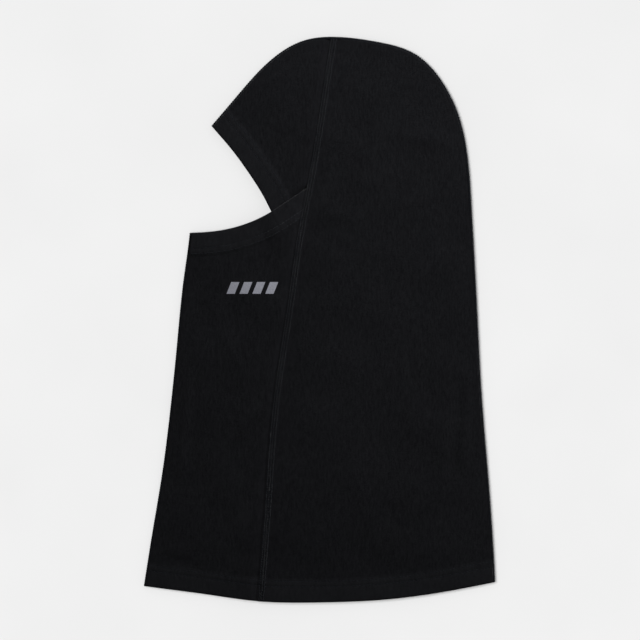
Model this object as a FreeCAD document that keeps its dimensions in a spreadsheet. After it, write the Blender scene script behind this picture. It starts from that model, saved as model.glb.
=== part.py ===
"""Cold-weather balaclava of knitted jersey, lying flat on its right side.

The garment is closed over the head by three seams on its centre line (back, brow and front)
and by a long side seam on each cheek.  A brow part and a bib part meet at the corner of the
face opening, the bib over the brow, and both are caught in the side seam.  The two open ends
of the brow and bib, and the neck, have turned hems held by two rows of stitching.

Frame: X runs from the wearer's front (-X) to back (+X), Y from the neck hem (-Y) to the crown
(+Y), Z up from the table.  The right half lies on the table and the left half on top of it,
crowned by the volume of the head.  The origin is below the middle of the flat garment.
"""
import FreeCAD, Part
import os
from FreeCAD import Vector

doc = FreeCAD.newDocument("balaclava")

# ---------------------------------------------------------------- driving dimensions (mm)
DIMENSIONS = [
    ("garment_length", 481.6, "crown to the lowest point of the neck hem, laid flat"),
    ("neck_width", 299.0, "neck hem, laid flat"),
    ("cloth_thickness", 0.8, "double-knit jersey"),
    ("rim_height", 7.0, "height of the folded centre-line seams above the table"),
    ("crown_loft", 5.5, "how far the upper half stands above the rim in the middle"),
    ("loft_end", 40.0, "Y above which the loft fades towards the crown"),
    ("side_seam_width", 6.0, "four-needle flat seam"),
    ("rim_seam_width", 3.0, "half of a flat seam, folded round the edge"),
    ("seam_proud", 0.5, "thread of the side seam above the cloth"),
    ("hem_depth", 20.0, "turned cloth behind each open edge"),
    ("outer_row", 13.5, "first row of hem stitching, from the edge"),
    ("row_spacing", 4.5, "between the two rows of a hem"),
    ("thread_width", 0.9, "one row of hem stitching"),
    ("thread_height", 0.4, "one row of hem stitching"),
    ("mark_width", 7.0, "one dash of the printed mark"),
    ("mark_height", 10.0, "printed mark, across the dashes"),
    ("mark_slant", 4.0, "lean of a dash over its height"),
    ("mark_pitch", 11.0, "from one dash to the next"),
    ("mark_film", 0.15, "thickness of the printed film"),
    ("blank_height", 30.0, "prisms that the crowned pieces are cut from"),
]

sheet = doc.addObject("Spreadsheet::Sheet", "dims")
for row, (alias, value, note) in enumerate(DIMENSIONS, start=1):
    sheet.set("A%d" % row, alias)
    sheet.set("B%d" % row, str(value))
    sheet.set("C%d" % row, note)
    sheet.setAlias("B%d" % row, alias)
doc.recompute()


def size(alias):
    """Value of one driving dimension."""
    return float(sheet.get(alias))


# ------------------------------------------------------------------------- pattern lines
# The points below are the pattern block of the middle size.  The sheet grades them.
BLOCK_LENGTH = 481.6
BLOCK_NECK = 299.0
OFFSET_SAMPLES = 24


def graded(x, y):
    """A point of the pattern block, graded to the sheet's length and width."""
    return Vector(x * size("neck_width") / BLOCK_NECK, y * size("garment_length") / BLOCK_LENGTH, 0)


def pattern_line(points):
    """Smooth line through points of the pattern block."""
    line = Part.BSplineCurve()
    line.interpolate([graded(x, y) for x, y in points])
    return line


def parallel(line, distance):
    """Line at a constant distance to the left of another."""
    first, last = line.FirstParameter, line.LastParameter
    points = []
    for step in range(OFFSET_SAMPLES + 1):
        place = first + (last - first) * step / OFFSET_SAMPLES
        tangent = line.tangent(place)[0]
        points.append(line.value(place) + Vector(-tangent.y, tangent.x, 0) * distance)
    result = Part.BSplineCurve()
    result.interpolate(points)
    return result


# Each line has the garment on its left and runs past its corners, where its neighbours cut it.
centre_line = pattern_line([                      # neck hem, nape, crown, brow
    (151, -260), (148.9, -211.5), (143.3, -130), (138.3, -68.5), (133.9, 13.5), (129.5, 95),
    (124.9, 146.5), (116.5, 179.5), (102.8, 205), (82.3, 225.7), (48.2, 236.8), (14.1, 240.8),
    (-13.1, 237.8), (-40.4, 222), (-67.7, 193.5), (-92, 165), (-110, 144.5)])
front_line = pattern_line([                       # chin to neck hem
    (-109, 92), (-110.4, 74), (-115.7, 34), (-121.3, -21), (-126.9, -75.5), (-133.8, -130),
    (-142.8, -184.5), (-149.3, -225.5), (-154, -255)])
neck_edge = pattern_line([                        # front to back
    (-175, -223), (-149.5, -226.8), (-95, -234), (-54, -239.5), (-3, -240.7), (58.5, -238),
    (99.5, -232.8), (149.5, -223.5), (175, -218.5)])
brow_edge = pattern_line([                        # brow tip to side seam, last part under the bib
    (-106, 182), (-92, 165), (-74.6, 144.6), (-59.8, 124.2), (-47, 103.7), (-41, 91.8),
    (-27.5, 66), (-17, 40)])
bib_edge = pattern_line([                         # side seam to chin
    (8, 124), (-13.5, 110), (-27.8, 100.5), (-41, 91.8), (-61, 82.2), (-86.5, 75.7),
    (-110.4, 74), (-130, 73.8)])
side_seam = pattern_line([                        # crown to neck hem
    (17, 265), (12.7, 240.8), (4.3, 186.7), (-8.3, 111.7), (-15.1, 76.5), (-24.1, 15.7),
    (-34.7, -55.3), (-39.5, -100.3), (-43.8, -163.3), (-49.7, -239.7), (-51.3, -265)])

centre_inset = parallel(centre_line, size("rim_seam_width"))
front_inset = parallel(front_line, size("rim_seam_width"))
seam_back = parallel(side_seam, size("side_seam_width") / 2)
seam_front = parallel(side_seam, -size("side_seam_width") / 2)


# ------------------------------------------------------------------------------ outlines
def crossing(first, second):
    """Point where two pattern lines cross."""
    point = first.intersectCC(second)[0]
    return Vector(point.X, point.Y, 0)


def stretch(line, start, end):
    """Part of a line between two points on it."""
    places = sorted(((line.parameter(start), start), (line.parameter(end), end)),
                    key=lambda place: place[0])
    part = line.copy()
    part.segment(places[0][0], places[1][0])
    part.setPole(1, places[0][1])
    part.setPole(part.NbPoles, places[1][1])
    return part


def outline(*lines):
    """Closed outline from pattern lines, each cut where it crosses the next."""
    corners = [crossing(lines[i - 1], lines[i]) for i in range(len(lines))]
    corners.append(corners[0])
    return [stretch(line, corners[i], corners[i + 1]) for i, line in enumerate(lines)]


def hem_outline(edge, side_a, side_b):
    """Turned cloth behind an open edge."""
    return outline(edge, side_a, parallel(edge, size("hem_depth")), side_b)


def stitch_rows(edge, side_a, side_b):
    """Two narrow rows of stitching beside an open edge."""
    rows = []
    for row in range(2):
        near = size("outer_row") + row * size("row_spacing") - size("thread_width") / 2
        rows += outline(parallel(edge, near), side_a, parallel(edge, near + size("thread_width")), side_b)
    return rows


def mark_outline():
    """Row of slanted dashes on the bib, in place of a printed name."""
    middle = graded(-59, 27)
    edges = []
    for number in range(4):
        left = middle + Vector((number - 1.5) * size("mark_pitch") - size("mark_width") / 2,
                               -size("mark_height") / 2, 0)
        up = Vector(size("mark_slant"), size("mark_height"), 0)
        across = Vector(size("mark_width"), 0, 0)
        corners = [left, left + across, left + across + up, left + up]
        edges += [Part.LineSegment(corners[i - 1], corners[i]) for i in range(4)]
    return edges


# --------------------------------------------------------------------------- crowned form
FRONT_LEAN = 0.137        # mm that the front edge moves back for each mm up
BACK_LEAN = 0.068         # mm that the back edge moves forward for each mm up
FRONT_X = -119.0          # front and back edge at Y = 0
BACK_X = 134.0
GRID_STEPS = 14


def crown_height(x, y):
    """Top of the cloth: rim height along the edges, lofted between them."""
    front = FRONT_X + FRONT_LEAN * y
    back = BACK_X - BACK_LEAN * y
    across = (2 * x - front - back) / (back - front)
    fade = max(0.0, y - size("loft_end")) / (size("garment_length") / 2 - size("loft_end"))
    return size("rim_height") + size("crown_loft") * (1 - across ** 2) * (1 - fade ** 2)


def crown_layer(name, above, thickness):
    """Solid that follows the crowned top: its upper face lies `above` it."""
    half_x = size("neck_width") * 0.56
    half_y = size("garment_length") * 0.54
    rows = []
    for i in range(GRID_STEPS + 1):
        x = half_x * (2 * i / GRID_STEPS - 1)
        row = []
        for j in range(GRID_STEPS + 1):
            y = half_y * (2 * j / GRID_STEPS - 1)
            row.append(Vector(x, y, crown_height(x, y) + above))
        rows.append(row)
    surface = Part.BSplineSurface()
    surface.interpolate(rows)
    layer = doc.addObject("Part::Feature", name)
    layer.Shape = surface.toShape().extrude(Vector(0, 0, -thickness))
    return layer


cloth = size("cloth_thickness")
thread = size("thread_height")
proud = size("seam_proud")
film = size("mark_film")
layers = {
    "panel": crown_layer("layer_panel", 0, cloth),
    "hem": crown_layer("layer_hem", -cloth, cloth),
    "tucked_panel": crown_layer("layer_tucked_panel", -2 * cloth, cloth),
    "tucked_hem": crown_layer("layer_tucked_hem", -3 * cloth, cloth),
    "side_seam": crown_layer("layer_side_seam", proud, 3 * cloth + proud),
    "thread": crown_layer("layer_thread", thread, thread),
    "tucked_thread": crown_layer("layer_tucked_thread", -2 * cloth + thread, thread),
    "film": crown_layer("layer_film", film, film),
    "rim": crown_layer("layer_rim", 0, size("blank_height")),
}

nodes = []


def cut_out(name, edges, thickness):
    """Body padded from a closed outline."""
    body = doc.addObject("PartDesign::Body", name)
    body.Label = name
    sketch = body.newObject("Sketcher::SketchObject", name + "_outline")
    plane = [item for item in body.Origin.OriginFeatures if item.Role == "XY_Plane"][0]
    sketch.AttachmentSupport = [(plane, "")]
    sketch.MapMode = "FlatFace"
    sketch.addGeometry(edges, False)
    pad = body.newObject("PartDesign::Pad", name + "_pad")
    pad.Profile = sketch
    pad.setExpression("Length", thickness)
    sketch.Visibility = False
    return body


def flat_piece(name, edges, thickness, height):
    """Piece of the right half, flat above the table at a height in cloth layers."""
    body = cut_out(name, edges, thickness)
    body.setExpression("Placement.Base.z", height)
    nodes.append(body)


def crowned_piece(name, edges, layer):
    """Piece that follows the crowned top."""
    blank = cut_out(name + "_blank", edges, "dims.blank_height")
    piece = doc.addObject("Part::Common", name)
    piece.Label = name
    piece.Base = blank
    piece.Tool = layers[layer]
    nodes.append(piece)


# ------------------------------------------------------------------------------ the pieces
back_outline = outline(neck_edge, centre_inset, seam_back)
brow_outline = outline(centre_inset, brow_edge, seam_front)
bib_outline = outline(bib_edge, front_inset, neck_edge, seam_front)
side_seam_outline = outline(seam_front, neck_edge, seam_back, centre_inset)
brow_hem_outline = hem_outline(brow_edge, seam_front, centre_inset)
bib_hem_outline = hem_outline(bib_edge, front_inset, seam_front)
front_hem_outline = hem_outline(neck_edge, seam_front, front_inset)
back_hem_outline = hem_outline(neck_edge, centre_inset, seam_back)
brow_rows = stitch_rows(brow_edge, bib_edge, centre_inset)
bib_rows = stitch_rows(bib_edge, front_inset, seam_front)
front_rows = stitch_rows(neck_edge, seam_front, front_inset)
back_rows = stitch_rows(neck_edge, centre_inset, seam_back)

# Upper half: the wearer's left side.
crowned_piece("left_back_panel", back_outline, "panel")
crowned_piece("left_brow_panel", brow_outline, "tucked_panel")
crowned_piece("left_bib_panel", bib_outline, "panel")
crowned_piece("left_side_seam", side_seam_outline, "side_seam")
crowned_piece("left_brow_hem", brow_hem_outline, "tucked_hem")
crowned_piece("left_bib_hem", bib_hem_outline, "hem")
crowned_piece("left_front_neck_hem", front_hem_outline, "hem")
crowned_piece("left_back_neck_hem", back_hem_outline, "hem")
crowned_piece("left_brow_hem_stitching", brow_rows, "tucked_thread")
crowned_piece("left_bib_hem_stitching", bib_rows, "thread")
crowned_piece("left_front_neck_stitching", front_rows, "thread")
crowned_piece("left_back_neck_stitching", back_rows, "thread")
crowned_piece("printed_mark", mark_outline(), "film")

# Lower half: the wearer's right side, the same pieces flat on the table.
flat_piece("right_back_panel", back_outline, "dims.cloth_thickness", "0 mm")
flat_piece("right_brow_panel", brow_outline, "dims.cloth_thickness", "2 * dims.cloth_thickness")
flat_piece("right_bib_panel", bib_outline, "dims.cloth_thickness", "0 mm")
flat_piece("right_side_seam", side_seam_outline, "3 * dims.cloth_thickness + dims.seam_proud", "0 mm")
flat_piece("right_brow_hem", brow_hem_outline, "dims.cloth_thickness", "3 * dims.cloth_thickness")
flat_piece("right_bib_hem", bib_hem_outline, "dims.cloth_thickness", "dims.cloth_thickness")
flat_piece("right_front_neck_hem", front_hem_outline, "dims.cloth_thickness", "dims.cloth_thickness")
flat_piece("right_back_neck_hem", back_hem_outline, "dims.cloth_thickness", "dims.cloth_thickness")
flat_piece("right_brow_hem_stitching", brow_rows, "dims.thread_height",
           "2 * dims.cloth_thickness - dims.thread_height")
flat_piece("right_bib_hem_stitching", bib_rows, "dims.thread_height", "2 * dims.cloth_thickness")
flat_piece("right_front_neck_stitching", front_rows, "dims.thread_height", "2 * dims.cloth_thickness")
flat_piece("right_back_neck_stitching", back_rows, "dims.thread_height", "2 * dims.cloth_thickness")

# Seams on the wearer's centre line, folded round the rim from one half to the other.
crowned_piece("centre_back_seam", outline(neck_edge, centre_line, side_seam, centre_inset), "rim")
crowned_piece("centre_brow_seam", outline(side_seam, centre_line, brow_edge, centre_inset), "rim")
crowned_piece("centre_front_seam", outline(bib_edge, front_line, neck_edge, front_inset), "rim")

doc.recompute()

# ------------------------------------------------------------------------------- write out
for item in doc.Objects:
    if "Invalid" in item.State or "Error" in item.State:
        raise RuntimeError("%s did not build: %s" % (item.Name, item.State))
for node in nodes:
    if node.Shape.isNull() or not node.Shape.isValid() or not node.Shape.Solids:
        raise RuntimeError("%s has no valid solid" % node.Label)

os.makedirs("parts", exist_ok=True)
for node in nodes:
    node.Shape.exportStep("parts/%s.step" % node.Label)
    print("%-28s %d solid, %.1f mm3" % (node.Label, len(node.Shape.Solids), node.Shape.Volume))
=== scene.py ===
"""Looks of a knitted balaclava lying flat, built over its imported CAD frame.

Each side of the garment is a height field over the flat pattern.  The wearer's left side is
uppermost (out = +1) and the right side lies on the table (out = -1), so one set of functions
makes both.  Cloth is a closed mesh with a real thickness, folded edges are round, and every
stitch is a thread of its own.  Lengths are in metres; the pattern's points are in millimetres.
"""
import math

import bmesh
import bpy
import numpy as np
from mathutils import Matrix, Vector
from mathutils.geometry import delaunay_2d_cdt


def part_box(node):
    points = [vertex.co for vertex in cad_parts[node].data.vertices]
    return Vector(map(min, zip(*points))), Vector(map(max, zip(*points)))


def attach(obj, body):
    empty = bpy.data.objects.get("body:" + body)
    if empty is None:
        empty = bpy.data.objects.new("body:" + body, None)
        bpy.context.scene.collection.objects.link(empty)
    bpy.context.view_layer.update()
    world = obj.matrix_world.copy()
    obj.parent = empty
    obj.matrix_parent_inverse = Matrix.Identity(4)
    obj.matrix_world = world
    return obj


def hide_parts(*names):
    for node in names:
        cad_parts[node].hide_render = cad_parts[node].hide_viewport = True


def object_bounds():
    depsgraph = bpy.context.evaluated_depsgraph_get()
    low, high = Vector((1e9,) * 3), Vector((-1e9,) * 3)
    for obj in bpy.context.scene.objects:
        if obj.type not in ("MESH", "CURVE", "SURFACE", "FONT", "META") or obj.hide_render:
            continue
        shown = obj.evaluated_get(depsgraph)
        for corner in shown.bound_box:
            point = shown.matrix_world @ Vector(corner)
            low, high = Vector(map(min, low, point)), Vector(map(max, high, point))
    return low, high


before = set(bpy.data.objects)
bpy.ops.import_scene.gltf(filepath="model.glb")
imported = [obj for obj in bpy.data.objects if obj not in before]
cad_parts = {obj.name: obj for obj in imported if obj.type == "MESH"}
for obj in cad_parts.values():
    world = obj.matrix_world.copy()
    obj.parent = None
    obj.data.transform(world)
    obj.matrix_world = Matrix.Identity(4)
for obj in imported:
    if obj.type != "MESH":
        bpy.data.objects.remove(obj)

cad_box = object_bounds()

# ---------------------------------------------------------------------------------- sizes
MM = 0.001
LEFT = 1                    # uppermost
RIGHT = -1                  # on the table
low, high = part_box("right_back_panel")
CLOTH = high[2] - low[2]    # thickness of the jersey
BLOCK = np.array([299.0, 481.6]) * MM       # width and length of the pattern lines below
GRADE = (np.array(cad_box[1][:2]) - np.array(cad_box[0][:2])) / BLOCK
ROLL = 1.9 * MM             # radius of the cloth folded round the rim
PROUD = 0.45 * MM           # lapped cloth and thread of a flat seam outside the panels
MIDDLE = ROLL + 2 * PROUD   # height of the rim's outermost line
LOFT = 5.6 * MM             # rise of the upper side between its rims
LOFT_END = 40 * MM          # it fades from this far above the middle to the crown
MOUTH_FLAT = 0.6            # share of the rise that is lost on the way to the neck hem,
MOUTH_FADE = (150 * MM, 240 * MM)           # between these places below the middle
FRONT_AT, FRONT_LEAN = -119 * MM, 0.137     # the rims as straight lines, for the rise
BACK_AT, BACK_LEAN = 134 * MM, -0.068
SEAM_HALF = 2.6 * MM        # half of the four-needle flat seam
HEM_DEPTH = 20.0 * MM
HEM_ROWS = (13.5 * MM, 18.0 * MM)
GRID = 2.0 * MM             # mesh spacing in the open cloth
HEM_GRID = 2.6 * MM         # the same in the turned-in layer of a hem
EDGE = 1.3 * MM             # mesh spacing along edges and rows
LINE_STEP = 1.0 * MM        # spacing of a pattern line's own points
FINE_STEP = 0.25 * MM       # the same before they are spaced evenly
THREAD = 0.2 * MM           # radius of the sewing thread
LIP_STEPS = 5               # faces round the lip of a hem
LAPPED = 2.5 * CLOTH        # rise of the bib over the hemmed brow
LAPPED_BELOW = 2.76 * CLOTH  # the same on the table, where the bib can't sink


# -------------------------------------------------------------------------- pattern lines
def spaced(line, step):
    """The same line with its points evenly spaced."""
    along = np.concatenate([[0], np.cumsum(np.linalg.norm(np.diff(line, axis=0), axis=1))])
    places = np.linspace(0, along[-1], max(2, int(round(along[-1] / step)) + 1))
    return np.stack([np.interp(places, along, line[:, k]) for k in range(line.shape[1])], axis=1)


def smooth_line(points):
    """Natural cubic spline through a few points, as a fine line."""
    p = np.array(points, float) * MM * GRADE
    t = np.concatenate([[0], np.cumsum(np.linalg.norm(np.diff(p, axis=0), axis=1))])
    gap = np.diff(t)
    matrix = np.eye(len(p))
    bend = np.zeros_like(p)
    for i in range(1, len(p) - 1):
        matrix[i, i - 1:i + 2] = gap[i - 1], 2 * (gap[i - 1] + gap[i]), gap[i]
        bend[i] = 6 * ((p[i + 1] - p[i]) / gap[i] - (p[i] - p[i - 1]) / gap[i - 1])
    curve = np.linalg.solve(matrix, bend)
    at = np.linspace(0, t[-1], int(t[-1] / FINE_STEP))
    i = np.clip(np.searchsorted(t, at, side="right") - 1, 0, len(gap) - 1)
    a = ((t[i + 1] - at) / gap[i])[:, None]
    b = 1 - a
    span = (gap[i] ** 2 / 6)[:, None]
    fine = a * p[i] + b * p[i + 1] + ((a ** 3 - a) * curve[i] + (b ** 3 - b) * curve[i + 1]) * span
    return spaced(fine, LINE_STEP)


def left_of(line):
    """Unit vectors to the left of a line, at its points."""
    along = np.gradient(line, axis=0)
    along /= np.linalg.norm(along, axis=1)[:, None]
    return np.stack([-along[:, 1], along[:, 0]], axis=1)


def parallel(line, distance):
    """Line at a constant distance to the left of another."""
    return line + left_of(line) * distance


def crossing(first, second):
    """Point where two lines cross."""
    r = (first[1:] - first[:-1])[:, None]
    s = (second[1:] - second[:-1])[None, :]
    q = second[None, :-1] - first[:-1, None]
    area = r[..., 0] * s[..., 1] - r[..., 1] * s[..., 0]
    t = (q[..., 0] * s[..., 1] - q[..., 1] * s[..., 0]) / area
    u = (q[..., 0] * r[..., 1] - q[..., 1] * r[..., 0]) / area
    i, j = np.argwhere((t >= 0) & (t <= 1) & (u >= 0) & (u <= 1))[0]
    return first[i] + t[i, j] * (first[i + 1] - first[i])


def place_on(line, point):
    """How many points along a line another point lies."""
    ahead = line[1:] - line[:-1]
    t = ((point - line[:-1]) * ahead).sum(1) / (ahead ** 2).sum(1)
    t = np.clip(t, 0, 1)
    miss = np.linalg.norm(line[:-1] + ahead * t[:, None] - point, axis=1)
    return miss.argmin() + t[miss.argmin()]


def stretch(line, start, end):
    """Part of a line from one point on it to another."""
    a, b = place_on(line, start), place_on(line, end)
    if a > b:
        return stretch(line, end, start)[::-1]
    return np.vstack([start, line[int(a) + 1:math.ceil(b)], end])


def outline(*lines):
    """Closed outline as a list of lines, each cut where it crosses its neighbours."""
    corners = [crossing(lines[i - 1], lines[i]) for i in range(len(lines))]
    corners.append(corners[0])
    return [stretch(line, corners[i], corners[i + 1]) for i, line in enumerate(lines)]


COARSE = 3 * MM             # spacing of a line when distances to it are measured
CHUNK = 400                 # points compared at a time
FIELD = 1.5 * MM            # grid of the distance fields
FIELD_MARGIN = 12 * MM
FIELD_LOW = np.array([cad_box[0][0], cad_box[0][1]]) - FIELD_MARGIN
FIELD_SIZE = [int((cad_box[1][k] - cad_box[0][k] + 2 * FIELD_MARGIN) / FIELD) + 2
              for k in range(2)]
fields = {}


def measured(line):
    """Signed distance, distance and place along a line, over a grid that covers the garment."""
    line = spaced(line, COARSE)
    ahead = line[1:] - line[:-1]
    span = np.linalg.norm(ahead, axis=1)
    run = np.concatenate([[0], np.cumsum(span)])
    steps = np.meshgrid(np.arange(FIELD_SIZE[0]), np.arange(FIELD_SIZE[1]), indexing="ij")
    points = FIELD_LOW + np.stack([steps[0].ravel(), steps[1].ravel()], axis=1) * FIELD
    found = []
    for first in range(0, len(points), CHUNK):
        x = points[first:first + CHUNK, 0:1] - line[:-1, 0]
        y = points[first:first + CHUNK, 1:2] - line[:-1, 1]
        t = np.clip((x * ahead[:, 0] + y * ahead[:, 1]) / span ** 2, 0, 1)
        square = (x - ahead[:, 0] * t) ** 2 + (y - ahead[:, 1] * t) ** 2
        i = square.argmin(1)
        rows = np.arange(len(i))
        side = np.sign(ahead[i, 0] * y[rows, i] - ahead[i, 1] * x[rows, i])
        dist = np.sqrt(square[rows, i])
        found.append(np.stack([side * dist, dist, run[i] + t[rows, i] * span[i]], axis=1))
    return np.vstack(found).reshape(FIELD_SIZE[0], FIELD_SIZE[1], 3)


def away(points, line):
    """Distance of each point from a line, how far along the line, and whether it is on its left."""
    if id(line) not in fields:
        fields[id(line)] = measured(line)
    field = fields[id(line)]
    place = (points - FIELD_LOW) / FIELD
    cell = np.clip(place.astype(int), 0, np.array(FIELD_SIZE) - 2)
    u, v = (place - cell).T
    i, j = cell.T
    u, v = u[:, None], v[:, None]
    low_row = field[i, j] * (1 - u) + field[i + 1, j] * u
    high_row = field[i, j + 1] * (1 - u) + field[i + 1, j + 1] * u
    signed, dist, along = (low_row * (1 - v) + high_row * v).T
    return np.where(dist > 2 * FIELD, dist, np.abs(signed)), along, signed > 0


# Each line has the garment on its left and runs past its corners, as in the CAD pattern.
centre_line = smooth_line([
    (151, -260), (148.9, -211.5), (143.3, -130), (138.3, -68.5), (133.9, 13.5), (129.5, 95),
    (124.9, 146.5), (116.5, 179.5), (102.8, 205), (82.3, 225.7), (48.2, 236.8), (14.1, 240.8),
    (-13.1, 237.8), (-40.4, 222), (-67.7, 193.5), (-92, 165), (-110, 144.5)])
front_line = smooth_line([
    (-109, 92), (-110.4, 74), (-115.7, 34), (-121.3, -21), (-126.9, -75.5), (-133.8, -130),
    (-142.8, -184.5), (-149.3, -225.5), (-154, -255)])
neck_edge = smooth_line([
    (-175, -223), (-149.5, -226.8), (-95, -234), (-54, -239.5), (-3, -240.7), (58.5, -238),
    (99.5, -232.8), (149.5, -223.5), (175, -218.5)])
brow_edge = smooth_line([
    (-106, 182), (-92, 165), (-74.6, 144.6), (-59.8, 124.2), (-47, 103.7), (-41, 91.8),
    (-27.5, 66), (-17, 40)])
bib_edge = smooth_line([
    (8, 124), (-13.5, 110), (-27.8, 100.5), (-41, 91.8), (-61, 82.2), (-86.5, 75.7),
    (-110.4, 74), (-130, 73.8)])
side_seam = smooth_line([
    (17, 265), (12.7, 240.8), (4.3, 186.7), (-8.3, 111.7), (-15.1, 76.5), (-24.1, 15.7),
    (-34.7, -55.3), (-39.5, -100.3), (-43.8, -163.3), (-49.7, -239.7), (-51.3, -265)])

RIM_IN = PROUD                                  # the threads of the rim reach the true outline
RIM_COVER = 1.1 * MM                            # panels end here, under the rim seam
centre_rim = parallel(centre_line, RIM_IN)
front_rim = parallel(front_line, RIM_IN)


# -------------------------------------------------------------------------- cloth surface
# Soft folds of the upper side, as the garment was laid down: start, end (mm), half-width
# and height (mm).  A fold with a negative height is a hollow.
FOLDS = [
    ((128, -50), (122, -122), 5.0, 0.8),
    ((121, -52), (112, -130), 5.0, -1.1),
    ((112, -66), (101, -132), 7.0, 0.5),
    ((62, 158), (121, 150), 7.0, 0.45),
    ((60, 148), (112, 139), 8.0, -0.25),
    ((30, 110), (76, 124), 7.0, 0.4),
    ((-113, -44), (-119, -133), 5.0, 0.7),
    ((-105, -40), (-109, -140), 7.0, -0.5),
    ((-138, -193), (-104, -201), 5.0, 0.35),
    ((-133, -203), (-102, -210), 4.0, -0.2),
    ((-4, 96), (34, 84), 7.0, 0.7),
    ((-8, 78), (24, 58), 7.0, -0.5),
    ((60, -20), (88, -96), 12.0, 0.7),
    ((20, -110), (52, -196), 12.0, 0.7),
    ((-92, 20), (-66, -50), 9.0, 0.6),
    ((-84, -120), (-62, -190), 9.0, 0.6),
    ((-70, 170), (-30, 196), 7.0, 0.5),
    ((84, 30), (112, 62), 9.0, 0.6),
]
FOLD_SCALE = 1.2
CALM = (1 * MM, 16 * MM)    # waves and folds fade in between these distances from a rim
SWELL_HEIGHT = 0.45 * MM    # long faint waves of the upper side
SWELL_BELOW = 0.2 * MM      # the same on the table
SWELLS = 14
rng = np.random.default_rng(7)
swell_turn = rng.uniform(0, math.pi, SWELLS)
swell_start = rng.uniform(0, 2 * math.pi, SWELLS)
swell_length = rng.uniform(48, 140, SWELLS) * MM


def ease(value, start, end):
    """0 before start, 1 after end, smooth between."""
    t = np.clip((value - start) / (end - start), 0, 1)
    return t * t * (3 - 2 * t)


def swell(xy):
    """Uneven lie of the cloth, between about -1 and 1."""
    total = np.zeros(len(xy))
    for turn, start, length in zip(swell_turn, swell_start, swell_length):
        across = xy[:, 0] * math.cos(turn) + xy[:, 1] * math.sin(turn)
        total += np.sin(across * 2 * math.pi / length + start)
    return total / math.sqrt(SWELLS)


def folded(xy):
    """Height of the soft folds."""
    total = np.zeros(len(xy))
    for start, end, half, height in FOLDS:
        a, b = np.array(start) * MM, np.array(end) * MM
        t = ((xy - a) @ (b - a)) / ((b - a) @ (b - a))
        side = np.linalg.norm(xy - a - np.clip(t, 0, 1)[:, None] * (b - a), axis=1)
        ends = ease(t, -0.25, 0.3) * (1 - ease(t, 0.7, 1.25))
        total += height * MM * np.exp(-(side / (half * MM)) ** 2) * ends
    return total


def pucker(dist, along, reach, height, wave):
    """Small ripples across a row of stitching, which draws the cloth in."""
    phase = along * 2 * math.pi / wave
    uneven = np.sin(phase + 1.7 * np.sin(phase * 0.37)) + 0.5 * np.sin(phase * 0.61 + 2.0)
    return height * uneven * np.exp(-(dist / reach) ** 2)


def lofted(xy):
    """Rise of the upper side between its rims, which are taken as two straight lines."""
    front = FRONT_AT + FRONT_LEAN * xy[:, 1]
    back = BACK_AT + BACK_LEAN * xy[:, 1]
    across = (2 * xy[:, 0] - front - back) / (back - front)
    fade = np.maximum(xy[:, 1] - LOFT_END, 0) / (cad_box[1][1] - LOFT_END)
    mouth = 1 - MOUTH_FLAT * ease(-xy[:, 1], *MOUTH_FADE)
    return LOFT * (1 - across ** 2) * (1 - fade ** 2) * mouth


def rim_distance(xy):
    """Distance from the seams on the centre line."""
    return np.minimum(away(xy, centre_rim)[0], away(xy, front_rim)[0])


def ground(xy, out):
    """Outer face of one side of the garment, before hems and seams."""
    rim = rim_distance(xy)
    rolled = ROLL * np.sqrt(1 - (1 - np.minimum(rim, ROLL) / ROLL) ** 2)
    calm = ease(rim, *CALM)
    if out == RIGHT:
        return MIDDLE - rolled - SWELL_BELOW * calm * (1 + swell(xy * 1.7))
    return MIDDLE + rolled + lofted(xy) + calm * (SWELL_HEIGHT * swell(xy) + FOLD_SCALE * folded(xy))


HEM_STEP = 0.7 * MM         # rise of a panel over its turned hem
NECK_HEM_STEP = 0.32 * MM
HEM_FADE = (HEM_DEPTH - 2.4 * MM, HEM_DEPTH + 0.9 * MM)
ROW_GROOVE = 0.16 * MM      # depth and half-width of a stitch row in the cloth
ROW_HALF = 0.7 * MM
SEAM_DIP = 0.2 * MM         # the cloth is drawn in along the side seam
SEAM_REACH = 4.4 * MM
DITCH_FRONT = 0.85 * MM     # narrow ditch before and behind the side seam's band
DITCH_BACK = 0.1 * MM
DITCH_PLACE = 3.3 * MM      # distance of its bottom from the seam, and how much more low down
DITCH_SHIFT = 0.9 * MM
DITCH_LOW = 150 * MM        # how far below the middle that is reached
DITCH_WALL = 0.6 * MM       # steep on the band's side, long and flat on the other
DITCH_TAIL = 5 * MM
RIDGE = 0.3 * MM            # the brow's hem shows through the bib
RIDGE_FADE = (HEM_DEPTH - 2 * MM, HEM_DEPTH + 2 * MM)
DRAWN_IN = (2 * MM, 27 * MM)        # near the side seam the brow gives way, farther off the bib
TUCK_REACH = 3.6 * MM       # the brow starts to sink this far before the bib's edge
RIDE = (-17 * MM, -1 * MM)  # the bib rises between these places before the brow's edge
SEAM_PUCKER = dict(reach=8 * MM, height=0.09 * MM, wave=14 * MM)
ROW_PUCKER = dict(reach=5 * MM, height=0.08 * MM, wave=8.5 * MM)
BIB_CLEAR = (24 * MM, 42 * MM)      # the bib comes down again this far below its edge
TABLE_GAP = 0.36 * MM       # the lower side's cloth stays this far above the table
SEAM_GAP = 0.75 * MM        # and this much more at its side seam


def drawn_in(xy, out):
    """1 where the brow gives way to the bib, as at the side seam, and 0 where the bib does.

    On the table the bib lies flat, so the brow gives way everywhere.
    """
    if out == RIGHT:
        return np.ones(len(xy))
    return 1 - ease(away(xy, side_seam)[0], *DRAWN_IN)


def tuck(xy, out):
    """1 where the brow is drawn in behind the bib, 0 clear of it."""
    dist, _, inside = away(xy, bib_edge)
    depth = np.where(inside, dist, -dist)
    return ease(depth, -TUCK_REACH, 0) * drawn_in(xy, out)


def near_bib_edge(xy):
    """1 along the bib's edge, 0 well below it."""
    return 1 - ease(away(xy, bib_edge)[0], *BIB_CLEAR)


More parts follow.
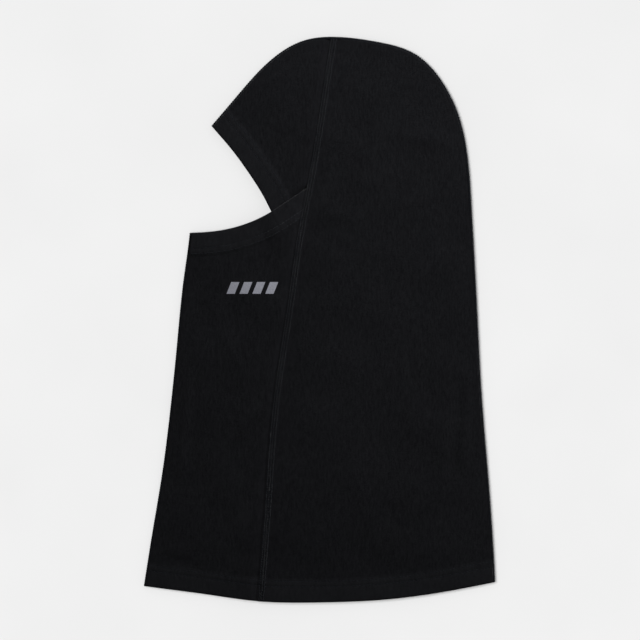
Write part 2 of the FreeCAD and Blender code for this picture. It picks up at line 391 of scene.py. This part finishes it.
def overlap(xy, out):
    """1 where the bib rides over the brow, 0 clear of it."""
    dist, _, inside = away(xy, brow_edge)
    depth = np.where(inside, dist, -dist)
    return ease(depth, *RIDE) * near_bib_edge(xy) * (1 - drawn_in(xy, out))


def panel_face(xy, out, open_edges, tucked=False):
    """Outer face of a panel: ground, hems, stitch rows, puckers, seam, tuck and overlap."""
    z = ground(xy, out)
    for edge in open_edges:
        dist, along, _ = away(xy, edge)
        step = NECK_HEM_STEP if edge is neck_edge else HEM_STEP
        z += out * step * (1 - ease(dist, *HEM_FADE))
        for row in HEM_ROWS:
            z -= out * ROW_GROOVE * np.exp(-((dist - row) / ROW_HALF) ** 2)
            z += pucker(dist - row, along + row, **ROW_PUCKER)
    dist, along, behind = away(xy, side_seam)
    at_seam = np.exp(-(dist / SEAM_REACH) ** 4)
    z += pucker(dist, along, **SEAM_PUCKER)
    z -= out * SEAM_DIP * at_seam
    ditch = np.where(behind, DITCH_BACK, DITCH_FRONT)
    bottom = DITCH_PLACE + DITCH_SHIFT * ease(-xy[:, 1], 0, DITCH_LOW)
    wall = ease(dist, bottom - DITCH_WALL, bottom)
    z -= out * ditch * wall * (1 - ease(dist, bottom, bottom + DITCH_TAIL))
    if tucked:
        z -= out * (LAPPED if out == LEFT else LAPPED_BELOW) * tuck(xy, out)
    elif bib_edge is open_edges[0]:
        under, _, inside = away(xy, brow_edge)
        ridge = (1 - ease(under, *RIDGE_FADE)) * inside
        z += out * (LAPPED * overlap(xy, out) + RIDGE * ridge * near_bib_edge(xy))
    if out == RIGHT:
        z = np.maximum(z, TABLE_GAP + SEAM_GAP * at_seam)
    return z


# ---------------------------------------------------------------------------- mesh making
def new_piece(name, mesh_data, node, material, double=None):
    """Object from (verts, faces), riding on the garment's body in place of a CAD node.

    double says how far each point lies in a doubled hem, for the material, which makes the doubled hem
    lighter: partly its denser cloth, partly painted sheen.
    """
    verts, faces = mesh_data
    mesh = bpy.data.meshes.new(name)
    mesh.from_pydata([tuple(v) for v in verts], [], faces)
    if double is not None:
        mesh.attributes.new("double", "FLOAT", "POINT").data.foreach_set("value", double)
    whole = bmesh.new()
    whole.from_mesh(mesh)
    bmesh.ops.recalc_face_normals(whole, faces=whole.faces)
    whole.to_mesh(mesh)
    whole.free()
    mesh.shade_smooth()
    mesh.materials.append(material)
    piece = bpy.data.objects.new(name, mesh)
    bpy.context.scene.collection.objects.link(piece)
    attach(piece, "root")
    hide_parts(node)
    return piece


def within(points, loop):
    """Which points are inside a closed line."""
    a, b = loop, np.roll(loop, -1, axis=0)
    lean = (b[:, 0] - a[:, 0]) / (b[:, 1] - a[:, 1] + 1e-15)
    found = []
    for first in range(0, len(points), CHUNK):
        x, y = points[first:first + CHUNK, 0:1], points[first:first + CHUNK, 1:2]
        straddles = (a[:, 1] > y) != (b[:, 1] > y)
        found.append((straddles & (x < a[:, 0] + (y - a[:, 1]) * lean)).sum(1) % 2 == 1)
    return np.concatenate(found)


def clear_of(points, others, gap):
    """The points that are farther than gap from every one of the others."""
    cell = gap / 3
    corner = np.minimum(points.min(0), others.min(0)) - 2 * gap
    size = ((np.maximum(points.max(0), others.max(0)) + 2 * gap - corner) / cell).astype(int) + 2
    taken = np.zeros(size, bool)
    i, j = ((others - corner) / cell).astype(int).T
    for a in range(-3, 4):
        for b in range(-3, 4):
            if a * a + b * b <= 10:
                taken[i + a, j + b] = True
    i, j = ((points - corner) / cell).astype(int).T
    return points[~taken[i, j]]


ROW_CLEAR = 0.45 * MM       # rows of mesh points stay this far off an outline
GRID_CLEAR = 0.62           # the grid stays off both by this part of its spacing
GRID_ROW = 0.866            # distance of its rows, which makes even triangles


def flat_mesh(edges, rows, grid):
    """Triangles inside an outline, with the points of the given rows.

    Returns the points, the triangles and the outline's points in order.
    """
    loop = np.vstack([spaced(edge, EDGE)[:-1] for edge in edges])
    inner = np.vstack(rows) if rows else np.zeros((0, 2))
    inner = inner[within(inner, loop)] if len(inner) else inner
    inner = clear_of(inner, loop, ROW_CLEAR) if len(inner) else inner
    known = np.vstack([loop, inner])
    box_low, box_high = loop.min(0), loop.max(0)
    xs = np.arange(box_low[0], box_high[0], grid)
    ys = np.arange(box_low[1], box_high[1], grid * GRID_ROW)
    mesh_x, mesh_y = np.meshgrid(xs, ys)
    mesh_x = mesh_x + (np.arange(len(ys)) % 2)[:, None] * grid / 2
    cells = np.stack([mesh_x.ravel(), mesh_y.ravel()], axis=1)
    cells = clear_of(cells[within(cells, loop)], known, GRID_CLEAR * grid)
    points = np.vstack([known, cells])
    made = delaunay_2d_cdt([Vector(p) for p in points], [], [list(range(len(loop)))], 1, 1e-7)
    verts = np.array([tuple(v) for v in made[0]])
    place = {}
    for i, sources in enumerate(made[3]):
        for source in sources:
            place[source] = i
    return verts, [tuple(f) for f in made[2]], [place[i] for i in range(len(loop))]


def face_normals(points, triangles):
    """Unit normal at each point, pointing up."""
    t = np.array(triangles)
    n = np.cross(points[t[:, 1]] - points[t[:, 0]], points[t[:, 2]] - points[t[:, 0]])
    n *= np.sign(n[:, 2:3])
    total = np.zeros_like(points)
    for k in range(3):
        np.add.at(total, t[:, k], n)
    return total / np.linalg.norm(total, axis=1)[:, None]


def cloth_mesh(edges, folded_edges, pattern, height, out):
    """Closed mesh of cloth with its real thickness.

    The edges whose numbers are in folded_edges get the round lip of a turned hem.
    """
    flat, triangles, loop = pattern
    outer = np.column_stack([flat, height(flat)])
    inner = outer - face_normals(outer, triangles) * out * CLOTH
    count = len(flat)
    verts = [outer, inner]
    faces = [tuple(t) for t in triangles] + [tuple(count + i for i in t) for t in triangles]
    owner = np.repeat(np.arange(len(edges)), [len(spaced(edge, EDGE)) - 1 for edge in edges])
    x, y = flat[loop].T
    turn = np.sign(np.sum(x * np.roll(y, -1) - np.roll(x, -1) * y))
    paths = {}
    for i, number in enumerate(owner):
        for k in (i, (i + 1) % len(loop)):
            paths[(number, k)] = [loop[k], count + loop[k]]
    total = 2 * count
    for number in folded_edges:
        members = [i for i in range(len(loop)) if owner[i] == number]
        members.append((members[-1] + 1) % len(loop))
        at = outer[[loop[i] for i in members]]
        outward = -left_of(at[:, :2]) * turn
        for step in range(1, LIP_STEPS + 1):
            angle = math.pi * step / LIP_STEPS
            ring = at.copy()
            ring[:, :2] += outward * CLOTH * math.sin(angle)
            ring[:, 2] -= out * CLOTH * (1 - math.cos(angle))
            for k, i in enumerate(members):
                paths[(number, i)].insert(-1, total + k)
            verts.append(ring)
            total += len(members)
        faces += [tuple(paths[(number, i)]) for i in (members[0], members[-1])]
    for i, number in enumerate(owner):
        a, b = paths[(number, i)], paths[(number, (i + 1) % len(loop))]
        faces += [(a[k], a[k + 1], b[k + 1], b[k]) for k in range(len(a) - 1)]
    return np.vstack(verts), faces


def flat_track(line, out, height):
    """Places beside a line on one side of the garment: w to its left, h off the cloth."""
    def at(w, h):
        flat = parallel(line, w)
        return np.column_stack([flat, height(flat) + out * h])
    return at


def rim_track(line):
    """Places round the rim: w runs from the lower side over the outermost line to the upper."""
    def at(w, h):
        angle = w / ROLL
        flat = parallel(line, ROLL - (ROLL + h) * math.cos(angle))
        return np.column_stack([flat, np.full(len(flat), MIDDLE + (ROLL + h) * math.sin(angle))])
    return at


def ring_faces(count, sides, first=0):
    """Faces of a closed tube of count rings, whose points are numbered from first on."""
    faces = []
    for i in range(count - 1):
        for k in range(sides):
            a = first + i * sides + k
            b = first + i * sides + (k + 1) % sides
            faces.append((a, b, b + sides, a + sides))
    faces.append(tuple(first + k for k in range(sides))[::-1])
    faces.append(tuple(first + (count - 1) * sides + k for k in range(sides)))
    return faces


def strip(track, profile, depth):
    """Closed band that follows a track, with a rounded upper profile of (w, h) points."""
    top = [track(w, h) for w, h in profile]
    under = [track(w, -depth) for w, _ in reversed(profile)]
    rings = np.stack(top + under, axis=1)
    return rings.reshape(-1, 3), ring_faces(*rings.shape[:2])


def joined(parts):
    """One mesh from several."""
    verts, faces, total = [], [], 0
    for v, f in parts:
        verts.append(v)
        faces += [tuple(i + total for i in face) for face in f]
        total += len(v)
    return np.vstack(verts), faces


def stitch_row(low_line, high_line, length, gap, radius):
    """Separate stitches along a line; high_line is the same line a little way off the cloth."""
    along = np.concatenate([[0], np.cumsum(np.linalg.norm(np.diff(low_line, axis=0), axis=1))])
    number = int(along[-1] / (length + gap))
    centres = (np.arange(number) + 0.5) * along[-1] / number
    up = high_line - low_line
    up /= np.linalg.norm(up, axis=1)[:, None]
    # place along the stitch, thickness and lift of each ring; the ends dive into the cloth
    shape = [(-1.0, 0.3, -1.3), (-0.86, 0.75, -0.5), (-0.45, 1.0, 0.0), (0.45, 1.0, 0.0),
             (0.86, 0.75, -0.5), (1.0, 0.3, -1.3)]
    sides = 6
    rings = []
    for where, width, lift in shape:
        s = centres + where * length / 2
        p = np.stack([np.interp(s, along, low_line[:, k]) for k in range(3)], axis=1)
        q = np.stack([np.interp(s + 1e-4, along, low_line[:, k]) for k in range(3)], axis=1)
        n = np.stack([np.interp(s, along, up[:, k]) for k in range(3)], axis=1)
        ahead = q - p
        ahead /= np.maximum(np.linalg.norm(ahead, axis=1), 1e-12)[:, None]
        side = np.cross(ahead, n)
        for k in range(sides):
            angle = 2 * math.pi * k / sides
            offset = side * math.cos(angle) + n * math.sin(angle)
            rings.append(p + n * lift * radius + offset * width * radius)
    faces = []
    for i in range(number):
        faces += ring_faces(len(shape), sides, i * len(shape) * sides)
    return np.stack(rings, axis=1).reshape(-1, 3), faces


def along_track(points, places):
    """Points of a track at fractions of its length."""
    steps = places * (len(points) - 1)
    return np.stack([np.interp(steps, np.arange(len(points)), points[:, k]) for k in range(3)], axis=1)


def cover_thread(track, w_a, w_b, pitch, radius):
    """One thread laid to and fro between two needle rows."""
    a, b = track(w_a, 0), track(w_b, 0)
    crest = track((w_a + w_b) / 2, 1.2 * radius)
    rise = track((w_a + w_b) / 2, 1 * MM) - track((w_a + w_b) / 2, 0)
    length = np.linalg.norm(np.diff(a, axis=0), axis=1).sum()
    places = np.linspace(0, 1, 2 * int(length / pitch) + 1)
    ends = np.where((np.arange(len(places)) % 4 == 0)[:, None],
                    along_track(a, places), along_track(b, places))
    odd = (np.arange(len(places)) % 2 == 1)[:, None]
    return tube(np.where(odd, along_track(crest, places), ends), along_track(rise, places), radius)


def tube(path, up, radius, sides=5):
    """Closed round tube along a path."""
    ahead = np.gradient(path, axis=0)
    ahead /= np.linalg.norm(ahead, axis=1)[:, None]
    side = np.cross(ahead, up)
    side /= np.linalg.norm(side, axis=1)[:, None]
    rise = np.cross(side, ahead)
    rings = []
    for k in range(sides):
        angle = 2 * math.pi * k / sides
        rings.append(path + radius * (side * math.cos(angle) + rise * math.sin(angle)))
    return np.stack(rings, axis=1).reshape(-1, 3), ring_faces(len(path), sides)


# ------------------------------------------------------------------------------ materials
class Shader:
    """A material with one Principled shader and short ways to wire nodes to it."""

    def __init__(self, name, **settings):
        self.material = bpy.data.materials.new(name)
        self.material.use_nodes = True
        self.tree = self.material.node_tree
        self.surface = self.tree.nodes["Principled BSDF"]
        for socket, value in settings.items():
            self.surface.inputs[socket.replace("_", " ")].default_value = value
        self.place = self.add("ShaderNodeTexCoord").outputs["Object"]

    def add(self, kind, **inputs):
        node = self.tree.nodes.new(kind)
        for name, value in inputs.items():
            self.feed(node.inputs[name.replace("_", " ")], value)
        return node

    def feed(self, socket, value):
        if isinstance(value, bpy.types.NodeSocket):
            self.tree.links.new(value, socket)
        else:
            socket.default_value = value

    def math(self, operation, *values):
        node = self.tree.nodes.new("ShaderNodeMath")
        node.operation = operation
        for socket, value in zip(node.inputs, values):
            self.feed(socket, value)
        return node.outputs[0]

    def noise(self, scale, detail=2.0, stretch=(1, 1, 1)):
        """Noise from 0 to 1; scale is in waves per metre, stretched along the axes."""
        mapping = self.add("ShaderNodeMapping", Vector=self.place, Scale=stretch)
        made = self.add("ShaderNodeTexNoise", Vector=mapping.outputs[0], Scale=scale, Detail=detail)
        return made.outputs["Fac"]

    def ramp(self, value, dark, light, start=0.3, end=0.7):
        """Colour from dark to light as value goes from start to end."""
        node = self.add("ShaderNodeValToRGB", Fac=value)
        node.color_ramp.elements[0].position = start
        node.color_ramp.elements[1].position = end
        node.color_ramp.elements[0].color = (*dark, 1)
        node.color_ramp.elements[1].color = (*light, 1)
        return node.outputs["Color"]

    def bump(self, height, depth, strength=1.0):
        made = self.add("ShaderNodeBump", Height=height, Distance=depth, Strength=strength)
        self.feed(self.surface.inputs["Normal"], made.outputs[0])

    def colour(self, value):
        self.feed(self.surface.inputs["Base Color"], value)


WALE = 0.82 * MM            # width of one column of knit loops
COURSE = 0.62 * MM          # height of one loop
BLACK = (0.0009, 0.0009, 0.00113)
BLACK_LIGHT = (0.0029, 0.0030, 0.0034)
COOL = (0.94, 0.965, 1.0, 1.0)


def scaled(colour, factor):
    return tuple(c * factor for c in colour)


def jersey(name, brightness=1.0):
    """Near-black double-knit jersey: columns of V-shaped loops, faint streaks and fuzz, with painted
    shade between the loop columns and a lighter doubled hem that is partly painted sheen.
    """
    s = Shader(name, Roughness=0.92, Sheen_Weight=0.15, Sheen_Roughness=0.3,
               Specular_IOR_Level=0.009)
    split = s.add("ShaderNodeSeparateXYZ", Vector=s.place)
    column = s.math("ABSOLUTE", s.math("SUBTRACT", s.math(
        "FRACT", s.math("DIVIDE", split.outputs["X"], WALE)), 0.5))
    row = s.math("DIVIDE", split.outputs["Y"], COURSE)
    loop = s.math("SINE", s.math("MULTIPLY", s.math("SUBTRACT", row, column), 2 * math.pi))
    round_top = s.math("SUBTRACT", 1.0, s.math("POWER", s.math("MULTIPLY", column, 2.0), 2.0))
    knit = s.math("MULTIPLY", round_top, s.math("MULTIPLY_ADD", loop, 0.25, 0.75))
    fuzz = s.noise(2600, 3)
    s.bump(s.math("MULTIPLY_ADD", fuzz, 0.35, knit), 0.16 * MM, 0.8)
    streaks = s.noise(1, 3, (700, 170, 170))
    grain = s.noise(1200, 3)
    patches = s.noise(45, 4)
    shade = s.math("ADD", s.math("MULTIPLY", streaks, 0.34), s.math("MULTIPLY", patches, 0.08))
    shade = s.math("MULTIPLY_ADD", grain, 0.48, shade)
    # painted shade: the colour is darker in the grooves between loop columns and lighter on the loop
    # tops
    shade = s.math("MULTIPLY_ADD", knit, 0.1, shade)
    # lighter where a hem lies doubled behind: partly the denser cloth, partly painted sheen
    hem = s.add("ShaderNodeAttribute")
    hem.attribute_name = "double"
    shade = s.math("MULTIPLY_ADD", hem.outputs["Fac"], 0.075, shade)
    s.colour(s.ramp(shade, scaled(BLACK, brightness), scaled(BLACK_LIGHT, brightness), 0.36, 0.66))
    return s.material


def seam_cloth(name):
    """Lapped cloth under the threads of a flat seam: a darker copy of the jersey, as painted shade in
    its grooves.
    """
    s = Shader(name, Roughness=0.9, Sheen_Weight=0.16, Sheen_Roughness=0.3, Sheen_Tint=COOL,
               Specular_IOR_Level=0.01)
    s.bump(s.noise(1800, 3), 0.15 * MM, 0.7)
    # painted shade: the same jersey at under half its brightness, so the gaps between threads look
    # shaded
    s.colour(s.ramp(s.noise(500, 3), scaled(BLACK, 0.4), scaled(BLACK_LIGHT, 0.5)))
    return s.material


def sewing_thread(name, brightness):
    """Textured polyester thread, a little lighter and cooler than the cloth."""
    s = Shader(name, Roughness=0.65, Sheen_Weight=0.16, Sheen_Roughness=0.3, Sheen_Tint=COOL,
               Specular_IOR_Level=0.02)
    s.bump(s.noise(5200, 2), 0.05 * MM, 0.6)
    s.colour(s.ramp(s.noise(700, 2), scaled((0.0031, 0.0038, 0.0056), brightness),
                    scaled((0.0056, 0.0068, 0.0098), brightness)))
    return s.material


def print_film(name):
    """Grey heat-pressed film, matt, with the cloth's grain showing through."""
    s = Shader(name, Roughness=0.5, Specular_IOR_Level=0.3)
    s.bump(s.noise(1500, 3), 0.06 * MM, 0.5)
    s.colour(s.ramp(s.noise(1100, 4), (0.047, 0.048, 0.056), (0.075, 0.076, 0.089)))
    return s.material


def pale_floor(name):
    """Plain matt white, barely mottled."""
    s = Shader(name, Roughness=0.9, Specular_IOR_Level=0.0)
    s.colour(s.ramp(s.noise(9, 2), (0.79, 0.79, 0.79), (0.81, 0.81, 0.81)))
    return s.material


cloth_material = jersey("jersey")
hem_material = jersey("jersey_inside", 0.95)
shaded_seam_material = seam_cloth("seam_cloth")
seam_thread_material = sewing_thread("seam_thread", 0.42)
# painted shade: the cover thread is the same thread made much darker, so the grooves between needle
# rows look shaded
shaded_cover_thread_material = sewing_thread("cover_thread", 0.14)
# painted highlight: the brow hem's thread is the hem thread made lighter, where its row faces the
# light
highlit_brow_thread_material = sewing_thread("brow_thread", 0.4)
hem_thread_material = sewing_thread("hem_thread", 0.36)
film_material = print_film("print_film")

# -------------------------------------------------------------------------- the garment
# Distances in millimetres of the rows of mesh points beside hem edges, rims and side seam.
EDGE_ROWS = [3, 6, 9, 11.5, 12.6, 13.1, 13.5, 13.9, 14.4, 15.75, 17.1, 17.6, 18, 18.5, 19.1, 19.7,
             20.3, 21, 22.5]
HEM_FLAT_ROWS = [3, 7, 11, 13.5, 15.5, 18]
RIM_ROWS = [1.5, 1.9, 2.4, 3.1, 4.2, 6]
SEAM_ROWS = [2.1, 2.7, 3.3, 3.9, 4.6, 5.4, 6.6, 8.2]
SEAM_STEP = 0.75 * MM       # mesh spacing along the side seam
UNDER_SEAM = 1.3 * MM       # panels end here under the side seam's band


def rows_beside(line, distances, sign=1, step=EDGE):
    """Rows of mesh points beside a line, at distances in millimetres."""
    return [spaced(parallel(line, sign * d * MM), step) for d in distances]


centre_cover = parallel(centre_rim, RIM_COVER)
front_cover = parallel(front_rim, RIM_COVER)
seam_back = parallel(side_seam, UNDER_SEAM)
seam_front = parallel(side_seam, -UNDER_SEAM)
centre_rows = rows_beside(centre_rim, RIM_ROWS)
front_rows = rows_beside(front_rim, RIM_ROWS)
neck_rows = rows_beside(neck_edge, EDGE_ROWS)
rows_behind = rows_beside(side_seam, SEAM_ROWS, 1, SEAM_STEP)
rows_before = rows_beside(side_seam, SEAM_ROWS, -1, SEAM_STEP)
neck_lip = parallel(neck_edge, CLOTH)
brow_lip = parallel(brow_edge, CLOTH)
bib_lip = parallel(bib_edge, CLOTH)

# name: outline, folded edges, rows, open edges, tucked
PANELS = {
    "back_panel": (outline(neck_lip, centre_cover, seam_back), [0],
                   neck_rows + centre_rows + rows_behind, [neck_edge], False),
    "brow_panel": (outline(centre_cover, brow_lip, seam_front), [1],
                   rows_beside(brow_edge, EDGE_ROWS) + centre_rows + rows_before, [brow_edge], True),
    "bib_panel": (outline(bib_lip, front_cover, neck_lip, seam_front), [0, 2],
                  rows_beside(bib_edge, EDGE_ROWS) + neck_rows + front_rows + rows_before,
                  [bib_edge, neck_edge], False),
}
# name: open edge, the lines at its two ends, the panel it belongs to
HEMS = {
    "brow_hem": (brow_edge, seam_front, parallel(centre_rim, ROLL), "brow_panel"),
    "bib_hem": (bib_edge, parallel(front_rim, ROLL), seam_front, "bib_panel"),
    "front_neck_hem": (neck_edge, seam_front, parallel(front_rim, ROLL), "bib_panel"),
    "back_neck_hem": (neck_edge, parallel(centre_rim, ROLL), seam_back, "back_panel"),
}
STITCH_NODES = {"brow_hem": "brow_hem_stitching", "bib_hem": "bib_hem_stitching",
                "front_neck_hem": "front_neck_stitching", "back_neck_hem": "back_neck_stitching"}
PANEL_FLATS = {name: flat_mesh(edges, rows, GRID) for name, (edges, _, rows, _, _) in PANELS.items()}
STITCH_LENGTH = 2.3 * MM
STITCH_GAP = 0.55 * MM
THREAD_LIFT = 0.08 * MM     # middle of a hem's thread above the cloth
DOUBLE_FADE = (HEM_DEPTH - 2.5 * MM, HEM_DEPTH + 1 * MM)


def face_of(panel, out):
    """Height function of one panel's outer face."""
    _, _, _, open_edges, tucked = PANELS[panel]
    return lambda xy: panel_face(xy, out, open_edges, tucked)


def doubled(points, panel):
    """1 where a panel has its turned hem behind it, 0 elsewhere."""
    total = np.zeros(len(points))
    for edge in PANELS[panel][3]:
        dist = away(points[:, :2], edge)[0]
        total = np.maximum(total, 1 - ease(dist, *DOUBLE_FADE))
    return total


def hem_outline(name):
    """Outline of the turned-in cloth of a hem."""
    edge, side_a, side_b, _ = HEMS[name]
    return outline(parallel(edge, CLOTH), side_a, parallel(edge, HEM_DEPTH), side_b)


HEM_FLATS = {name: flat_mesh(hem_outline(name), rows_beside(HEMS[name][0], HEM_FLAT_ROWS), HEM_GRID)
             for name in HEMS}
HEM_BELOW = 1.03 * CLOTH    # how far a hem's turned-in layer lies behind the panel's face


def build_side(side, out):
    """All the cloth and thread of one side of the garment."""
    for name, (edges, folded_edges, _, _, _) in PANELS.items():
        mesh = cloth_mesh(edges, folded_edges, PANEL_FLATS[name], face_of(name, out), out)
        node = "%s_%s" % (side, name)
        piece = new_piece(node + "_cloth", mesh, node, cloth_material, doubled(mesh[0], name))
    for name, (edge, side_a, side_b, panel) in HEMS.items():
        face = face_of(panel, out)
        edges = hem_outline(name)
        mesh = cloth_mesh(edges, [], HEM_FLATS[name], lambda xy: face(xy) - out * HEM_BELOW, out)
        node = "%s_%s" % (side, name)
        piece = new_piece(node + "_cloth", mesh, node, hem_material)
        threads = []
        ends = bib_edge if name == "brow_hem" else side_a       # the brow's rows end under the bib
        for distance in HEM_ROWS:
            row = parallel(edge, distance)
            row = spaced(stretch(row, crossing(row, ends), crossing(row, side_b)), LINE_STEP)
            track = flat_track(row, out, face)
            low_line, high_line = track(0, THREAD_LIFT), track(0, 1 * MM)
            threads.append(stitch_row(low_line, high_line, STITCH_LENGTH, STITCH_GAP, THREAD))
        node = "%s_%s" % (side, STITCH_NODES[name])
        new_piece(node + "_threads", joined(threads), node,
                  highlit_brow_thread_material if name == "brow_hem" else hem_thread_material)


NEEDLES = (-2.05 * MM, 0.0, 2.05 * MM)
NEEDLE_LIFT = (0.3 * MM, 0.36 * MM, 0.27 * MM)
NEEDLE_THREAD = 0.27 * MM   # radius
NEEDLE_GROOVE = 0.16 * MM   # depth and half-width of the groove under each needle row
NEEDLE_HALF = 0.35 * MM
BAND_HALF = SEAM_HALF + 0.25 * MM
BAND_RISE = 0.34 * MM       # crown of the band above the cloth
BAND_SINK = 0.1 * MM        # its edges below it
BAND_DEPTH = 0.7 * MM
BAND_STEPS = 12
COVER_LIFT = 0.26 * MM
COVER_THREAD = 0.17 * MM
COVER_PITCH = 1.05 * MM
SEAM_STITCH = 1.9 * MM
SEAM_STITCH_GAP = 0.14 * MM
SEAM_LINE_STEP = 0.8 * MM   # spacing of the points that a seam's band and threads follow


def seam_band(name, track):
    """Flat seam: a low band of lapped cloth, needle rows, and cover thread laid between them."""
    profile = []
    for step in range(-BAND_STEPS, BAND_STEPS + 1):
        w = step / BAND_STEPS * BAND_HALF
        off_needle = min(abs(w - needle) for needle in NEEDLES)
        groove = NEEDLE_GROOVE * math.exp(-(off_needle / NEEDLE_HALF) ** 2)
        shoulder = (abs(w) / BAND_HALF) ** 6
        profile.append((w, BAND_RISE * (1 - shoulder) - groove - BAND_SINK * shoulder))
    new_piece(name + "_band", strip(track, profile, BAND_DEPTH), name, shaded_seam_material)

    def raised(w, h):
        return track(w, h + COVER_LIFT)

    cover = [cover_thread(raised, w_a, w_b, COVER_PITCH, COVER_THREAD)
             for w_a, w_b in zip(NEEDLES, NEEDLES[1:])]
    new_piece(name + "_cover", joined(cover), name, shaded_cover_thread_material)
    rows = [stitch_row(track(w, h), track(w, h + 1 * MM), SEAM_STITCH, SEAM_STITCH_GAP, NEEDLE_THREAD)
            for w, h in zip(NEEDLES, NEEDLE_LIFT)]
    new_piece(name + "_threads", joined(rows), name, seam_thread_material)


build_side("left", LEFT)
build_side("right", RIGHT)


def seam_face(xy, out):
    """Outer face that a side seam's band lies on."""
    return panel_face(xy, out, [neck_edge])


for side, out in (("left", LEFT), ("right", RIGHT)):
    line = stretch(side_seam, crossing(side_seam, centre_rim), crossing(side_seam, neck_edge))
    seam_band("%s_side_seam" % side,
              flat_track(spaced(line, SEAM_LINE_STEP), out, lambda xy: seam_face(xy, out)))


def rim_seam(name, line, start, end):
    """Seam folded round a rim, from one point to another."""
    seam_band(name, rim_track(spaced(stretch(line, start, end), SEAM_LINE_STEP)))


brow_tip = crossing(centre_rim, brow_edge)
crown = crossing(centre_rim, side_seam)
nape = crossing(centre_rim, neck_edge)
chin = crossing(front_rim, bib_edge)
throat = crossing(front_rim, neck_edge)
rim_seam("centre_back_seam", centre_rim, nape, crown)
rim_seam("centre_brow_seam", centre_rim, crown, brow_tip)
rim_seam("centre_front_seam", front_rim, chin, throat)

FILM = 0.1 * MM             # the print's face above the cloth
FILM_BACK = 0.05 * MM       # and its back below it


def printed_mark():
    """Slanted dashes of film on the bib."""
    width, height, slant, pitch = 7.0 * MM, 10.0 * MM, 4.0 * MM, 11.0 * MM
    middle = np.array([-59.0, 27.0]) * MM
    face = face_of("bib_panel", LEFT)
    parts = []
    for place in (-1.5, -0.5, 0.5, 1.5):
        corner = middle + [place * pitch - width / 2, -height / 2]
        a, b = corner, corner + [width, 0]
        c, d = b + [slant, height], corner + [slant, height]
        edges = [spaced(np.array(pair), 0.5 * MM) for pair in ((a, b), (b, c), (c, d), (d, a))]
        flat, triangles, loop = flat_mesh(edges, [], 1.2 * MM)
        top = np.column_stack([flat, face(flat) + FILM])
        bottom = np.column_stack([flat, face(flat) - FILM_BACK])
        count = len(flat)
        faces = [tuple(t) for t in triangles] + [tuple(count + i for i in t) for t in triangles]
        for i in range(len(loop)):
            p, q = loop[i], loop[(i + 1) % len(loop)]
            faces.append((p, q, count + q, count + p))
        parts.append((np.vstack([top, bottom]), faces))
    film = new_piece("printed_mark_film", joined(parts), "printed_mark", film_material)
    film.data.shade_flat()


printed_mark()

# ------------------------------------------------------------------- floor, light, camera
scene = bpy.context.scene
scene.view_settings.view_transform = "Standard"

bpy.ops.mesh.primitive_grid_add(x_subdivisions=8, y_subdivisions=8, size=8)
floor = bpy.context.object
floor.name = "floor"
floor.data.materials.append(pale_floor("pale_floor"))

world = bpy.data.worlds.new("studio")
world.use_nodes = True
world.node_tree.nodes["Background"].inputs["Color"].default_value = (1, 1, 1, 1)
world.node_tree.nodes["Background"].inputs["Strength"].default_value = 0.24
scene.world = world


def collected(name, pieces):
    """Collection that a light is limited to."""
    group = bpy.data.collections.new(name)
    for piece in pieces:
        group.objects.link(piece)
    return group


# The paper is lit evenly from above; the black cloth has a soft box of its own.
garment = collected("garment", [o for o in scene.objects if o.type == "MESH" and o is not floor])
sun = bpy.data.objects.new("paper_light", bpy.data.lights.new("paper_light", "SUN"))
sun.data.energy = 2.9
sun.data.angle = math.radians(40)
sun.rotation_euler = (math.radians(-4), math.radians(-22), 0)
scene.collection.objects.link(sun)
sun.light_linking.receiver_collection = collected("paper", [floor])

soft_box = bpy.data.objects.new("soft_box", bpy.data.lights.new("soft_box", "AREA"))
soft_box.data.energy = 240
soft_box.data.size = 0.5
soft_box.location = (0.9, 1.52, 1.2)
soft_box.rotation_euler = (-soft_box.location).to_track_quat("-Z", "Y").to_euler()
scene.collection.objects.link(soft_box)
soft_box.light_linking.receiver_collection = garment

CAMERA_HEIGHT = 3.2
VIEW_WIDTH = 0.5457         # metres across the picture at the table
camera = bpy.data.objects.new("camera", bpy.data.cameras.new("camera"))
camera.data.sensor_width = 36
camera.data.lens = 36 * CAMERA_HEIGHT / VIEW_WIDTH
camera.location = (0.5 * MM, -0.3 * MM, CAMERA_HEIGHT)
scene.collection.objects.link(camera)
scene.camera = camera
